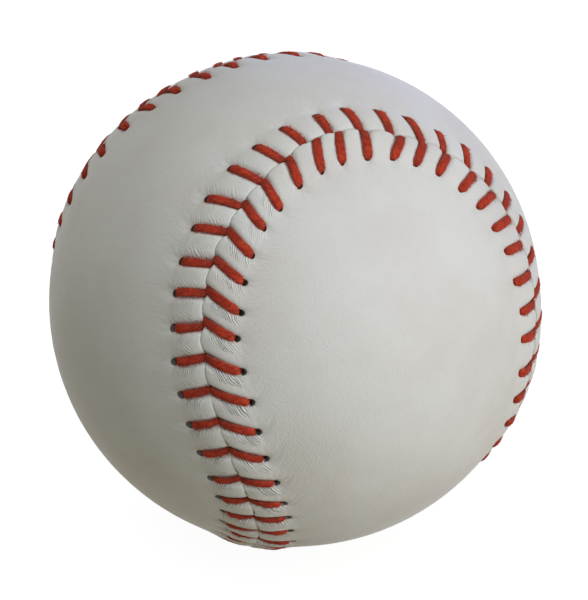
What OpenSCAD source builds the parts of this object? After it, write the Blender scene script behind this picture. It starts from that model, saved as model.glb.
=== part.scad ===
// Baseball: a cork and rubber centre, wound with yarn and covered by two figure-eight leather panels
// that a red thread laces together along one seam.
// The origin is the ball's centre. +Z runs through the middle of the upper panel's neck, whose lobes
// face -X and +X, and -Z through the lower panel's neck, whose lobes face -Y and +Y.

/* [Centre] */
// Diameter of the cork composition ball
cork_d = 20.6; // [18:0.1:24]
// Wall of the two black rubber half shells
half_shell_t = 4; // [3:0.1:5]
// Thickness of the gum rubber washer between the half shells
washer_t = 0.8; // [0.4:0.1:1.6]
// Wall of the red rubber shell moulded over them
outer_shell_t = 2.4; // [1.6:0.1:3.2]

/* [Windings] */
// Depth of the first winding, four-ply grey wool
first_winding_t = 14.6; // [12:0.1:16]
// Depth of the second winding, three-ply white wool
second_winding_t = 1.8; // [1:0.1:3]
// Depth of the third winding, three-ply grey wool
third_winding_t = 2.3; // [1:0.1:3]
// Depth of the finish winding, fine cotton
finish_winding_t = 0.5; // [0.3:0.1:1]

/* [Leather] */
// Thickness of the leather
leather_t = 1.25; // [1.15:0.05:1.6]
// Angle from the middle of a neck to its edge, which sets the shape of the whole seam
neck_angle = 22.4; // [20:0.1:26]
// Height of the leather's crest between two stitches
crest_h = 0.85; // [0.6:0.05:1.1]
// Height of the crest where a stitch presses it down
pressed_h = 0.35; // [0.2:0.05:0.5]
// Distance of the crest from the seam
crest_line = 1.6; // [1.3:0.1:2]
// Distance from the seam at which the leather lies flat on the winding again
foot_line = 6.6; // [6.2:0.1:8]
// Least gap between the two leather edges
edge_gap = 0.16; // [0.1:0.02:0.3]
// Air between the winding and the leather
cover_fit = 0.2; // [0.2:0.02:0.4]

/* [Stitching] */
// Number of stitches round the ball
stitch_count = 88; // [80:4:100]
// Width of the waxed thread where it lies flattened
thread_w = 1.1; // [0.9:0.05:1.2]
// Height of the flattened thread
thread_h = 0.75; // [0.6:0.05:0.8]
// Distance of the needle holes from the seam
needle_line = 5.3; // [4.8:0.1:5.5]
// Diameter of a needle hole
needle_hole_d = 1.4; // [1.3:0.05:1.6]
// How far the holes trail their stitch's point along the seam
needle_trail = 1.5; // [1:0.1:2]
// How far the leather draws the holes towards its own neck, midway along a lobe's side
needle_drift = 0.9; // [0:0.1:1.2]

/* [Hidden] */
$fn = 180;
hole_fn = 24;

// Play between the thread and the leather that it passes
thread_play = 0.05;
// Play under the thread's ends, where it runs straight over the winding's curve
bridge_play = 3 * thread_play;
// Height of the space that the lifted leather edges leave for the thread over the winding
channel_h = bridge_play + thread_h + 3 * thread_play;
// Distance between the two strands where they pass each other in the seam
strand_pitch = 1.36 * thread_w;
// Stretch along the seam, each way from a stitch's point, in which the leather makes room for both strands
notch_reach = strand_pitch / 2 + thread_w / 2 + thread_play;
// Distance of the leather from the seam there
notch_depth = thread_h / 2 + 2 * thread_play;
// Half the width of the groove that a stitch presses into the crest
groove_reach = thread_w / 2 + 4 * thread_play;
// Where the space under the leather ends, clear of the hole's far side
channel_line = needle_line + needle_hole_d / 2 + thread_play;
// Height of the leather's edges beside the seam
edge_h = pressed_h / 3;
// Height of the thread's middle over the leather that it crosses
crest_clearance = thread_h / 2 + 2 * thread_play;
// Height of the thread's middle where it runs on under the leather
under_height = thread_h / 2 + bridge_play - cover_fit - leather_t;
// Distance from the seam at which the thread stands in its hole, near the hole's inner side
hole_side_line = needle_line - (needle_hole_d - thread_h) / 2 + 2 * thread_play;
// Where a strand starts and ends under the leather, as shares of the stretch between two stitches
start_share = 0.75;
end_share = 0.4;
// Sides of the thread's section
thread_sides = 5;
// Position of the first stitch past the middle of the upper neck's edge, as a share of the stitch pitch
first_stitch_share = 0.25;
// Rows of leather between the seam's foot and the panel's middle line, as shares of that distance
field_shares = [0.14, 0.32, 0.5, 0.68, 0.85];
// Place of a pillow's shoulder between its crest and the needle holes, and its height beside the crest's
shoulder_line_share = 0.5;
shoulder_h_share = 0.68;
// Angle from a panel's neck to the middle of its lobes
lobe_angle = 108;

cork_r = cork_d / 2;
half_shell_r = cork_r + half_shell_t;
outer_shell_r = half_shell_r + outer_shell_t;
first_winding_r = outer_shell_r + first_winding_t;
second_winding_r = first_winding_r + second_winding_t;
third_winding_r = second_winding_r + third_winding_t;
finish_winding_r = third_winding_r + finish_winding_t;
cover_inner_r = finish_winding_r + cover_fit;
cover_r = cover_inner_r + leather_t;
shoulder_line = crest_line + (needle_line - crest_line) * shoulder_line_share;

// The seam, as directions from the ball's centre. A lap is 720 degrees of its angle t, in four like quarters
quarter = 180;
function seam_direction(t) =
    let (polar = 90 - (90 - neck_angle) * cos(t), turn = t / 2 + neck_angle * sin(2 * t))
    [-sin(polar) * sin(turn), sin(polar) * cos(turn), cos(polar)];

// Length along one quarter of the seam on a ball of radius 1, with the angle reached there
quarter_step = 1.5;
quarter_table = [
    for (
        t = 0, run = 0;
        t <= quarter;
        run = run + norm(seam_direction(t + quarter_step) - seam_direction(t)), t = t + quarter_step
    ) [run, t]
];
quarter_run = quarter_table[len(quarter_table) - 1][0];
quarter_stitches = stitch_count / 4;
stitch_pitch = cover_r * quarter_run / quarter_stitches;
stitches = [0 : stitch_count - 1];

// Angle t of the seam at u stitches from the middle of the upper neck's edge
function seam_angle(u) =
    let (laps = u / quarter_stitches, whole = floor(laps))
    quarter * whole + lookup((laps - whole) * quarter_run, quarter_table);

function unit(v) = v / norm(v);
function mix(a, b, share) = a * (1 - share) + b * share;

function seam_heading(t) = unit(seam_direction(t + quarter_step) - seam_direction(t - quarter_step));

// Point at u stitches along the seam, a distance across it to the upper panel, and a height over the cover
function on_cover(u, across, height) =
    let (
        t = seam_angle(u),
        out = seam_direction(t),
        aside = unit(cross(out, seam_heading(t))),
        angle = across / cover_r * 180 / PI
    )
    (out * cos(angle) + aside * sin(angle)) * (cover_r + height);

// side is 1 for the upper panel and -1 for the lower one. Shifts along the seam are in stitches.
function hole_shift(u, side) = -(needle_trail + side * needle_drift * sin(seam_angle(u))) / stitch_pitch;
function strand_shift(side) = -side * strand_pitch / 2 / stitch_pitch;
function leg_shift(u, side, across) = mix(strand_shift(side), hole_shift(u, side), across / needle_line);
function stitch_at(k) = k + first_stitch_share;

// Rings of points along the seam, three for each stitch on the leather's edge and pillows, and one further in
function edge_ring(side, height) = [
    for (k = stitches)
        each [
            on_cover(stitch_at(k) - notch_reach / stitch_pitch, side * notch_depth, height),
            on_cover(stitch_at(k) + notch_reach / stitch_pitch, side * notch_depth, height),
            on_cover(stitch_at(k) + 1 / 2, side * edge_gap / 2, height)
        ]
];
function pillow_ring(side, across, share) = [
    for (k = stitches)
        let (groove = stitch_at(k) + leg_shift(stitch_at(k), side, across))
        each [
            on_cover(groove - groove_reach / stitch_pitch, side * across, pressed_h * share),
            on_cover(groove + groove_reach / stitch_pitch, side * across, pressed_h * share),
            on_cover(groove + 1 / 2, side * across, crest_h * share)
        ]
];
function hole_ring(side, across, height) = [
    for (k = stitches) on_cover(stitch_at(k) + hole_shift(stitch_at(k), side), side * across, height)
];

// Direction of the panel's middle line, which runs from lobe to lobe through the neck, level with stitch u
function middle_direction(u, side) =
    let (
        t = seam_angle(u) - (side > 0 ? 0 : quarter),
        reach = lobe_angle * sin(t / 2)
    )
    side > 0 ? [-sin(reach), 0, cos(reach)] : [0, -sin(reach), -cos(reach)];
function field_ring(side, share) = [
    for (k = stitches)
        cover_r * unit(mix(unit(on_cover(k, side * foot_line, 0)), middle_direction(k, side), share))
];
function neck_stitch(side) = side > 0 ? 0 : quarter_stitches;
function far_neck_stitch(side) = neck_stitch(side) + 2 * quarter_stitches;
function middle_points(side) = [
    for (j = [0 : quarter_stitches]) cover_r * middle_direction(neck_stitch(side) + j, side),
    for (j = [1 : quarter_stitches]) cover_r * middle_direction(far_neck_stitch(side) + j, side)
];

// Index, in the list above, of the middle point level with stitch k
function middle_index(k, side) =
    let (
        from_neck = (k - neck_stitch(side) + stitch_count) % stitch_count,
        lobe = from_neck <= 2 * quarter_stitches ? 0 : 1,
        j = quarter_stitches - abs(from_neck - 2 * quarter_stitches * lobe - quarter_stitches)
    )
    j == 0 ? 0 : j + lobe * quarter_stitches;

// Triangles between a ring with per points a stitch and the points that coarse numbers, one for each stitch
function turned(face, flip) = flip ? [face[2], face[1], face[0]] : face;
function band(fine_start, per, coarse, flip) =
    let (fine = function(i) fine_start + i % (per * stitch_count))
    [
        for (k = stitches)
            each concat(
                [
                    for (i = [1 : 1 : per - 1])
                        turned([fine(per * k + i - 1), coarse(k), fine(per * k + i)], flip)
                ],
                [
                    turned([fine(per * k + per - 1), coarse(k), coarse(k + 1)], flip),
                    turned([fine(per * k + per - 1), coarse(k + 1), fine(per * k + per)], flip)
                ]
            )
    ];

// Solid wedge from the ball's centre out to one panel's outer side, with the thread's channel under its edge
module panel_wedge(side) {
    rows = len(field_shares);
    ring = function(start) function(k) start + k % stitch_count;
    middle = function(start) function(k) start + middle_index(k % stitch_count, side);
    flip = side < 0;

    edge_low = 0;
    edge_top = edge_low + 3 * stitch_count;
    crest = edge_top + 3 * stitch_count;
    shoulder = crest + 3 * stitch_count;
    field = shoulder + 3 * stitch_count;
    field_middle = field + (1 + rows) * stitch_count;
    channel = field_middle + 1 + 2 * quarter_stitches;
    centre = channel + stitch_count;
    field_row = function(row) field + row * stitch_count;

    channel_top = channel_h - cover_fit - leather_t;
    points = concat(
        edge_ring(side, channel_top),
        edge_ring(side, edge_h),
        pillow_ring(side, crest_line, 1),
        pillow_ring(side, shoulder_line, shoulder_h_share),
        hole_ring(side, foot_line, 0),
        [for (share = field_shares) each field_ring(side, share)],
        middle_points(side),
        hole_ring(side, channel_line, channel_top),
        [[0, 0, 0]]
    );
    faces = concat(
        [for (k = stitches) turned([ring(channel)(k), ring(channel)(k + 1), centre], flip)],
        band(edge_low, 3, ring(channel), !flip),
        wall(edge_low, edge_top, flip),
        wall(edge_top, crest, flip),
        wall(crest, shoulder, flip),
        band(shoulder, 3, ring(field), flip),
        [for (row = [1 : rows]) each band(field_row(row - 1), 1, ring(field_row(row)), flip)],
        band(field_row(rows), 1, middle(field_middle), flip)
    );
    polyhedron(points, faces, convexity = 10);
}
function wall(low, high, flip) = [
    for (k = [0 : 3 * stitch_count - 1])
        let (next = (k + 1) % (3 * stitch_count))
        each [
            turned([low + k, high + k, high + next], flip),
            turned([low + k, high + next, low + next], flip)
        ]
];

module at_direction(v) {
    rotate([0, acos(v[2] / norm(v)), atan2(v[1], v[0])]) children();
}

module needle_holes(side) {
    for (k = stitches) {
        hole = on_cover(stitch_at(k) + hole_shift(stitch_at(k), side), side * needle_line, 0);
        at_direction(hole)
            translate([0, 0, cover_r + under_height])
                cylinder(h = leather_t + crest_h, d = needle_hole_d, $fn = hole_fn);
    }
}

module cover_panel(side) {
    color("#e6e5df")
        difference() {
            panel_wedge(side);
            sphere(r = cover_inner_r);
            needle_holes(side);
        }
}
module cover_panel_upper() { cover_panel(1); }
module cover_panel_lower() { cover_panel(-1); }

// Lacing: each strand comes up through a hole, crosses the leather's crest, goes down in the seam
// and on under the other panel, to that panel's next hole
function strand_side(k, strand) = (k + strand) % 2 == 0 ? 1 : -1;
function strand_stitch(k, strand) =
    let (
        side = strand_side(k, strand),
        u = stitch_at(k),
        hole = u + hole_shift(u, side),
        pass = u + strand_shift(side)
    )
    [
        [hole, side * hole_side_line, under_height],
        [hole, side * (hole_side_line - thread_play), edge_h + crest_clearance],
        [u + leg_shift(u, side, crest_line), side * crest_line, pressed_h + crest_clearance],
        [pass, 0, edge_h + crest_clearance],
        [pass, 0, under_height]
    ];

// The strand's two ends lie under the leather, either side of a gap before its first stitch
function strand_path(strand) =
    let (
        stations = [for (k = stitches) each strand_stitch(k, strand)],
        before = strand_stitch(-1, strand)[4],
        after = strand_stitch(stitch_count, strand)[0]
    )
    concat(
        [mix(before, stations[0], start_share)],
        stations,
        [mix(stations[len(stations) - 1], after, end_share)]
    );

module lacing_strand(strand) {
    path = strand_path(strand);
    last = len(path) - 1;
    centres = [for (p = path) on_cover(p[0], p[1], p[2])];
    rings = [
        for (i = [0 : last])
            let (
                ahead = unit(centres[min(i + 1, last)] - centres[min(i, last - 1)]),
                behind = unit(centres[max(i, 1)] - centres[max(i - 1, 0)]),
                along = unit(ahead + behind),
                heading = seam_heading(seam_angle(path[i][0])),
                wide = unit(heading - (heading * along) * along),
                high = cross(along, wide)
            )
            each [
                for (j = [0 : thread_sides - 1])
                    let (angle = 360 * j / thread_sides)
                    centres[i] + wide * sin(angle) * thread_w / 2 + high * cos(angle) * thread_h / 2
            ]
    ];
    faces = concat(
        [[for (j = [thread_sides - 1 : -1 : 0]) j]],
        [
            for (i = [0 : last - 1], j = [0 : thread_sides - 1])
                let (
                    a = i * thread_sides + j,
                    b = i * thread_sides + (j + 1) % thread_sides
                )
                each [[a, b, a + thread_sides], [b, b + thread_sides, a + thread_sides]]
        ],
        [[for (j = [0 : thread_sides - 1]) last * thread_sides + j]]
    );
    color("#b02a1e")
        polyhedron(rings, faces, convexity = 10);
}
module thread_first_needle() { lacing_strand(0); }
module thread_second_needle() { lacing_strand(1); }

module layer(inner_r, outer_r) {
    difference() {
        sphere(r = outer_r);
        sphere(r = inner_r);
    }
}

module cork_centre() {
    color("#b58a55")
        sphere(r = cork_r);
}

// Section of the rubber round the cork, on one side of its joint plane
module half_shell() {
    color("#26262a")
        rotate_extrude()
            intersection() {
                difference() {
                    circle(r = half_shell_r);
                    circle(r = cork_r);
                }
                translate([0, washer_t / 2])
                    square([half_shell_r, half_shell_r]);
            }
}
module half_shell_upper() { half_shell(); }
module half_shell_lower() { mirror([0, 0, 1]) half_shell(); }

module shell_washer() {
    color("#a8453a")
        rotate_extrude()
            intersection() {
                difference() {
                    circle(r = half_shell_r);
                    circle(r = cork_r);
                }
                translate([0, -washer_t / 2])
                    square([half_shell_r, washer_t]);
            }
}

module outer_rubber_shell() { color("#8e2f2a") layer(half_shell_r, outer_shell_r); }
module first_winding() { color("#8f8f8c") layer(outer_shell_r, first_winding_r); }
module second_winding() { color("#dedcd2") layer(first_winding_r, second_winding_r); }
module third_winding() { color("#9a9a97") layer(second_winding_r, third_winding_r); }
module finish_winding() { color("#786c5c") layer(third_winding_r, finish_winding_r); }

cork_centre();
half_shell_upper();
half_shell_lower();
shell_washer();
outer_rubber_shell();
first_winding();
second_winding();
third_winding();
finish_winding();
cover_panel_upper();
cover_panel_lower();
thread_first_needle();
thread_second_needle();
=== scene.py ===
"""A white leather baseball with a red laced seam, seen from the side of one cover lobe.

Lengths are in metres. The two leather panels, their stitch holes and the two threads are modelled as
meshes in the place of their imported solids. What lies under the leather keeps its solid and gets its own
finish.
"""

import math

import bpy
import numpy as np
from mathutils import Matrix, Vector


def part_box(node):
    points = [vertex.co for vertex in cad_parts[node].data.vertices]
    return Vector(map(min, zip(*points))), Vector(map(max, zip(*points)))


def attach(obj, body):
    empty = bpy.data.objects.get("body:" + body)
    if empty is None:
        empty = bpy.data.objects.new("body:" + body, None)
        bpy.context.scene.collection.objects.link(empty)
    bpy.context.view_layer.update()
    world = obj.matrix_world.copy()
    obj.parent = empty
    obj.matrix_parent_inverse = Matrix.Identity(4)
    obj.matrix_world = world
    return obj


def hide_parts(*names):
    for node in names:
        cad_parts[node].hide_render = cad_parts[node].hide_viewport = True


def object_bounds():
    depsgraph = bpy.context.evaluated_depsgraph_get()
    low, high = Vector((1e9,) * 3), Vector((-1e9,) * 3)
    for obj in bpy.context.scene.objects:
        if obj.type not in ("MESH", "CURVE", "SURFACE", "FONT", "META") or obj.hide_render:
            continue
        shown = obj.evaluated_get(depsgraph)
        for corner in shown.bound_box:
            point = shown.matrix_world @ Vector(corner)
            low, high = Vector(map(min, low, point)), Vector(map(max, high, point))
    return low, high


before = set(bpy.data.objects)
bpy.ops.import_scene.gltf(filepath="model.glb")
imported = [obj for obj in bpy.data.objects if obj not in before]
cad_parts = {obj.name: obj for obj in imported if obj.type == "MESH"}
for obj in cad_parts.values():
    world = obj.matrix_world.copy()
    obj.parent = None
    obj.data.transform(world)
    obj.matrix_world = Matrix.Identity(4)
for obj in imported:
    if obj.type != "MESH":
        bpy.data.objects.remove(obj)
cad_bounds = [list(corner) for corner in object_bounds()]

MM = 0.001

# Sizes of the ball
COVER_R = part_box("cover_panel_upper")[1][2]
FLOOR_Z = cad_bounds[0][2]

# Half of a neck's width, and how far a panel's middle line reaches from its neck, as angles at the centre
NECK_ANGLE = math.radians(22.4)
LOBE_ANGLE = math.radians(108)

# The stitches round the seam and in a quarter of it, a stitch's angle where half the seam is one turn, and
# the first stitch's place. Places are counted in stitches from the middle of the upper neck's edge.
STITCHES = 88
QUARTER = STITCHES // 4
STITCH_TURN = 4 * math.pi / STITCHES
FIRST_STITCH = 0.25

# The needle holes' distance from the seam, how far they trail their stitches, how much that varies round the
# ball, and the distance of the two strands from each other in the seam
NEEDLE_LINE = 5.3 * MM
NEEDLE_TRAIL = 1.46 * MM
NEEDLE_DRIFT = 0.78 * MM
STRANDS_APART = 0.66 * MM

# The picture's size, the ball's radius and centre in it, and the camera's distance, side and upright
PICTURE_PX = (588, 600)
BALL_PX = 245.5
BALL_CENTRE_PX = (294.5, 301.0)
CAMERA_RADII = 20
CAMERA_SIDE = (-0.389, -0.781, 0.488)
CAMERA_UP = (0.276, 0.407, 0.871)

# The sewer's hand: all that is uneven is drawn from it, always in the same order
hand = np.random.default_rng(9)


def smoothstep(x, low, high):
    s = np.clip((x - low) / (high - low), 0, 1)
    return s * s * (3 - 2 * s)


def eased(x, places, heights):
    """Smooth curve through the points (places, heights), level beyond its ends."""
    places = np.asarray(places, float)
    heights = np.asarray(heights, float)
    slopes = np.gradient(heights, places)
    slopes[[0, -1]] = 0
    x = np.clip(x, places[0], places[-1])
    i = np.clip(np.searchsorted(places, x, side="right") - 1, 0, len(places) - 2)
    width = places[i + 1] - places[i]
    s = (x - places[i]) / width
    rise = heights[i + 1] - heights[i]
    a = slopes[i] * width
    b = slopes[i + 1] * width
    return heights[i] + s * (a + s * (3 * rise - 2 * a - b + s * (a + b - 2 * rise)))


def unit(v):
    return v / np.linalg.norm(v, axis=-1, keepdims=True)


# Seam


def seam_direction(t):
    """Direction of the even seam from the ball's centre. Each pi of t is a quarter of the seam."""
    polar = math.pi / 2 - (math.pi / 2 - NECK_ANGLE) * np.cos(t)
    turn = t / 2 + NECK_ANGLE * np.sin(2 * t)
    return np.stack([-np.sin(polar) * np.sin(turn), np.sin(polar) * np.cos(turn), np.cos(polar)], -1)


# The seam's length up to each angle of its first quarter, and the stitches' distance from each other
TABLE_T = np.linspace(0, math.pi, 1801)
STEPS = np.linalg.norm(np.diff(seam_direction(TABLE_T), axis=0), axis=1)
TABLE_RUN = np.concatenate([[0], np.cumsum(STEPS)])
PITCH = COVER_R * TABLE_RUN[-1] / QUARTER


def seam_angle(u):
    """Angle of the seam's curve at u stitches from the middle of the upper neck's edge."""
    laps = np.asarray(u, float) / QUARTER
    whole = np.floor(laps)
    return whole * math.pi + np.interp((laps - whole) * TABLE_RUN[-1], TABLE_RUN, TABLE_T)


def seam_heading(u):
    t = seam_angle(u)
    return unit(seam_direction(t + 0.01) - seam_direction(t - 0.01))


# Where the seam leaves its even course: the stitch where it is furthest off, the reach in stitches, how
# many stitches it has slid along and how far it has swayed towards the upper panel
SEAM_BENDS = ((2.5, 6.5, 0.22, -1.5 * MM), (61.5, 5.2, 0, 4.3 * MM))

# The seam's small waves: how many go round the ball, their height and their start
SEAM_WAVES = ((37, 0.05 * MM, 1.0), (61, 0.06 * MM, 2.4), (97, 0.05 * MM, 4.1))

# Between two stitches the seam bows towards the upper panel: how far on most of the ball, how far where it
# bows most, that place's stitch and reach, and the distances from the seam between which the bow dies away
SCALLOP = 0.14 * MM
DEEP_SCALLOP = 0.26 * MM
DEEP_SCALLOP_NEAR = (36.5, 6)
SCALLOP_FADE = (0.8 * MM, 3.6 * MM)


def near_stitch(u, middle, reach):
    """1 at a stitch, dying away to both sides within a reach."""
    off = (u - middle + STITCHES / 2) % STITCHES - STITCHES / 2
    return np.exp(-((off / reach) ** 2))


def on_cover(u, across, height):
    """Point at u stitches along the seam, a distance across it towards the upper panel, and a height."""
    u = np.asarray(u, float)
    slid = 0
    swayed = 0
    for middle, reach, slide, sway in SEAM_BENDS:
        bent = near_stitch(u, middle, reach)
        slid = slid + slide * bent
        swayed = swayed + sway * bent
    for count, crest, start in SEAM_WAVES:
        swayed = swayed + crest * np.sin(2 * math.pi * count * u / STITCHES + start)
    between = np.sin(math.pi * (u - FIRST_STITCH)) ** 2
    scallop = SCALLOP + (DEEP_SCALLOP - SCALLOP) * near_stitch(u, *DEEP_SCALLOP_NEAR)
    swayed = swayed + scallop * between * (1 - smoothstep(np.abs(across), *SCALLOP_FADE))
    out = seam_direction(seam_angle(u + slid))
    aside = unit(np.cross(out, seam_heading(u + slid)))
    angle = ((across + swayed) / COVER_R)[..., None]
    return (out * np.cos(angle) + aside * np.sin(angle)) * (COVER_R + np.asarray(height))[..., None]


def middle_direction(u, side):
    """Direction of a panel's middle line, from lobe to lobe through its neck, level with stitch u."""
    reach = LOBE_ANGLE * np.sin((seam_angle(u) - (0 if side > 0 else math.pi)) / 2)
    flat = np.zeros_like(reach)
    if side > 0:
        return np.stack([-np.sin(reach), flat, np.cos(reach)], -1)
    return np.stack([flat, -np.sin(reach), -np.cos(reach)], -1)


# How far each stitch is from its even place, for the upper panel and then the lower one: along the seam
# where its leg goes down into it, and along and across the seam at its needle hole. A table starts at the
# stitch UNEVEN_FROM, and again half way round the ball. Past its end the stitches are even.
UNEVEN_FROM = 27
SEAM_ALONG_MM = (
    [-0.85, -1.7, -1.8, -1.65, -1.45, -0.8, -0.3, 0.15, 0.4, 0.4, 0.35, 0.2, 0.55, 0.25, 0.35, 0.2, 0,
     -0.25, -0.15, -0.05, 0.55, -0.4, -0.2, -0.75, -0.9, -1.05, -0.8, -0.2, 0.4, 1, 1.2, 1.2, 1, 0.8,
     0.5, 0.2],
    [-1.8, -2.25, -2.7, -2.5, -2.6, -1.5, -1.1, -0.6, -0.35, 0.6, 0.35, 0.4, 0.25, 0.25, -0.1, 0.5,
     1.4, 0.5, -0.4, 0.9, -0.1, -0.4, 0.6, 0.4, 0.3, 0.2, 0.1, 0, 0.1, 0.9, 1.1, 1.8, 2.6, 1.8, 1.2,
     0.6],
)
HOLE_ALONG_MM = (
    [0.05, -1.2, -1.35, -1.8, -1.35, -0.5, -0.4, 0.1, 0.05, 0.15, 0.4, -0.25, -0.3, -0.7, 0.1, 0.2,
     0.7, 0.55, -0.1, 0.35, 0.05, 0.5, 0.6, 0.8, 0.8, 0, 0.1, 0.2, 0.5, 1, 1.2, 1.2, 1, 0.7, 0.4, 0.2],
    [-0.55, 0.1, -0.3, -1.35, -1.35, -1.15, -1.1, -0.75, -0.45, 0.2, -0.15, 0.45, 0.4, 0.6, -0.05, 0.6,
     -0.4, -0.1, 0.6, 0.35, -0.25, -0.95, -0.45, -0.9, -0.6, -0.4, 0.4, 0.9, 0.6, 1.6, 1.5, 2, 2.8, 2,
     1.3, 0.6],
)
HOLE_ACROSS_MM = (
    [-0.3, 0.35, -0.2, 0.05, -0.05, -0.05, 0.1, -0.1, 0.35, -0.1, 0.3, 0.4, 0.45, 0.9, 0.8, 0.55, 0,
     -0.4, 0.4, 0.3, 0.35, -0.1, 0.7, 0.05, 0.35, 0.5, 0.3, 0.2, 0.1],
    [-0.35, -0.8, -0.75, -0.9, -0.35, -0.45, -0.25, -0.15, -0.2, -0.15, 0.15, 0, -0.1, -0.45, -0.15,
     -0.6, 0.05, 0.3, 0.2, -0.45, -0.6, -0.5, 0, 0.1, 0.4, 0.4, 0.7, 0.4, 0.2, 0, -0.3, -1, -1.2,
     -0.6],
)

# Where a panel's legs end nearer to the seam or further from it: the stitch, the reach in stitches and how
# far. Then the distances from the seam over which such a move of the leather grows, and where it starts to
# die away.
LEG_ENDS = ((2.5, 7, -0.8 * MM), (52, 3.5, 0.5 * MM))
MOVE_GROWS = (0.6 * MM, 4.2 * MM)
MOVE_ENDS_FROM = 6.2 * MM
SHIFT_ENDS_FROM = 1.2 * NEEDLE_LINE


def of_panel(side, pair):
    """A panel's own one of a pair. A side is 1 for the upper panel and -1 for the lower one."""
    return pair[0 if side > 0 else 1]


def uneven(u, tables, side):
    """Reads one of those tables at any place along the seam, in metres."""
    table = of_panel(side, tables)
    lap = STITCHES // 2
    heights = np.zeros(lap + 1)
    heights[:len(table)] = table
    heights[lap] = heights[0]
    return np.interp((u - FIRST_STITCH - UNEVEN_FROM) % lap, np.arange(lap + 1), heights) * MM


def hole_shift(u, side):
    """How far a stitch's hole trails it, in stitches. A panel draws its holes towards its own neck."""
    trail = NEEDLE_TRAIL + side * NEEDLE_DRIFT * np.sin(seam_angle(u))
    return (uneven(u, HOLE_ALONG_MM, side) - trail) / PITCH


def strand_shift(u, side):
    """How far a panel's leg goes down into the seam from its stitch, in stitches."""
    return (uneven(u, SEAM_ALONG_MM, side) - side * STRANDS_APART / 2) / PITCH


def leg_shift(u, side, across):
    """How far the line of a stitch's leg has moved along the seam at a distance from it, in stitches."""
    share = np.clip(across / NEEDLE_LINE, 0, 1)
    fade = 1 - smoothstep(across, SHIFT_ENDS_FROM, BAND_END)
    return (strand_shift(u, side) * (1 - share) + hole_shift(u, side) * share) * fade


def leg_stretch(u, side, across):
    """How far a leg and the leather under it have moved across the seam."""
    rise = smoothstep(across, *MOVE_GROWS) * (1 - smoothstep(across, MOVE_ENDS_FROM, BAND_END))
    middle, reach, further = of_panel(side, LEG_ENDS)
    return (uneven(u, HOLE_ACROSS_MM, side) + further * near_stitch(u, middle, reach)) * rise


def twice_round(u, at):
    """1 at a stitch and half way round the ball from it, -1 midway between those two."""
    return np.cos((u - at) * STITCH_TURN)


# How full each stitch's pillow is, for the upper panel, which is flatter near one stitch, and the lower one,
# which is fullest at another. Then how the hand strays: a strand in the seam, in millimetres, a needle hole
# along and across it, and the turn of the puckers round that hole.
FLATTER_NEAR = (2.5, 7)
FULLEST_AT = 30
PILLOW_FULLNESS = hand.normal(0, 0.06, (2, STITCHES))
PILLOW_FULLNESS[0] += 0.98 - 0.4 * near_stitch(np.arange(STITCHES), *FLATTER_NEAR)
PILLOW_FULLNESS[1] += 0.78 + 0.22 * twice_round(np.arange(STITCHES), FULLEST_AT)
STRAND_STRAY = hand.normal(0, 0.1, STITCHES)
HOLE_STRAY = hand.normal(0, 0.11, (2, STITCHES, 2)) * MM
PUCKER_TURN = hand.uniform(0, 2 * math.pi, (2, STITCHES))


# Leather

# The panels' mesh: its columns at each stitch, how far they are drawn to it, its rows by their distance from
# the seam, and then its rows by their share of the way on to the panel's middle line
COLUMNS = 14
COLUMN_DRAW = 0.52
BAND_MM = [
    0, 0.08, 0.2, 0.36, 0.56, 0.82, 1.15, 1.55, 2, 2.5, 3, 3.45, 3.8, 4.08, 4.3,
    4.52, 4.75, 5, 5.25, 5.5, 5.75, 6, 6.22, 6.44, 6.7, 7.05, 7.5, 8.1, 8.8, 9.6,
]
BAND_END = BAND_MM[-1] * MM
OUTER_SHARES = [0.05, 0.11, 0.19, 0.28, 0.37, 0.47, 0.57, 0.67, 0.77, 0.87]
INNER_SHARES = [0.19, 0.47, 0.77]

# What the leather's map gives for the distance from the seam past those rows, up to the middle line
FIELD_MAP = (10, 30)

# Faces that meet at more than this angle keep a sharp edge
EDGE_ANGLE = math.radians(55)

# The block of faces that a needle hole takes out, and how many times its size the mesh round it is drawn
HOLE_ROWS = (15, 20)
HOLE_COLUMNS = (4, 9)
HOLE_SPREAD = 2.6

# A needle hole's half width, where each panel's holes start, their half length where they are tight and
# where the lacing has drawn them, and their middle at the underside
HOLE_HALF_W = 0.58 * MM
HOLE_FROM = (4.15 * MM, 4.42 * MM)
HOLE_HALF_L_TIGHT = 0.5 * MM
HOLE_HALF_L_DRAWN = 0.8 * MM
HOLE_CENTRE_BELOW = (4.4 * MM, 4.75 * MM)

# The stitch by which the lacing has drawn the holes longest, and how far from it each panel's stay so
DRAWN_AT = 30
DRAWN_BETWEEN = ((0.45, 0.7), (0.2, 0.45))

# Heights over the cover's round form, by distance from the seam
ACROSS_MM = [0, 0.1, 0.3, 0.7, 1.3, 2.1, 3.2, 4.4, 5.4, 6.6, 8, 9.6]
PILLOW_MM = [0.54, 0.62, 0.68, 0.73, 0.75, 0.72, 0.61, 0.4, 0.2, 0.07, 0.02, 0]
PRESSED_MM = [-0.4, -0.38, -0.33, -0.22, -0.11, -0.03, 0.02, -0.06, -0.13, -0.03, 0, 0]
INSIDE_AT_MM = [0, 6.4, 6.7, 9.6]
INSIDE_MM = [-0.75, -0.75, -1.23, -1.23]

# Beside a leg the leather rises from its pressed track to the pillow, and a share of that nearer its top
TRACK_SIDE = (0.36 * MM, 1.18 * MM)
PILLOW_TOP = (1.0 * MM, 2.3 * MM)
TOP_SHARE = 0.14

# The leather puckers in a ring round each hole and dips into it
PUCKERS = 11
PUCKER_RING = 1.5 * MM
PUCKER_REACH = 0.9 * MM
PUCKER_H = 0.03 * MM
DIP_REACH = 1.1 * MM
DIP_DEPTH = 0.02 * MM

# A hole that strays draws the leather along: how far across, and in which part of a stitch that ends
STRAY_REACH = 2 * MM
STRAY_FADE = (0.2, 0.5)

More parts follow.
